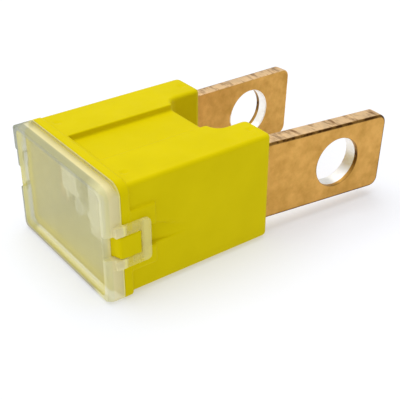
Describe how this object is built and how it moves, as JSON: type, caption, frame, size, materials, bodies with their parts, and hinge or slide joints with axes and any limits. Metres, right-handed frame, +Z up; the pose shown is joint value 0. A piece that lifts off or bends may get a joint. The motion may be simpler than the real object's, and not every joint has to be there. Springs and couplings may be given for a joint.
{
  "type": "bolt-in cartridge fuse",
  "caption": "Yellow bolt-in cartridge fuse with a frosted clear cap and two copper blade terminals drilled for 5 mm bolts.",
  "frame": {"origin": "under the middle of the whole fuse, on the surface that it lies on", "axes": "+Y from the clear cap to the terminal tips, +Z up through the thickness of the housing, +X across the housing to the right terminal"},
  "size_m": [0.0174, 0.0334, 0.0117],
  "materials": {
    "yellow_plastic": "satin moulded nylon",
    "frosted_plastic": "frosted clear",
    "copper": "bare rolled copper, slightly oxidised",
    "plated_link": "dull tin plated",
    "tin_alloy": "dull cast"
  },
  "bodies": {
    "root": {"housing": "yellow_plastic", "cap": "frosted_plastic", "terminal_left": "copper", "terminal_right": "copper", "fusible_link": "plated_link", "solder_pellet": "tin_alloy"}
  },
  "joints": []
}
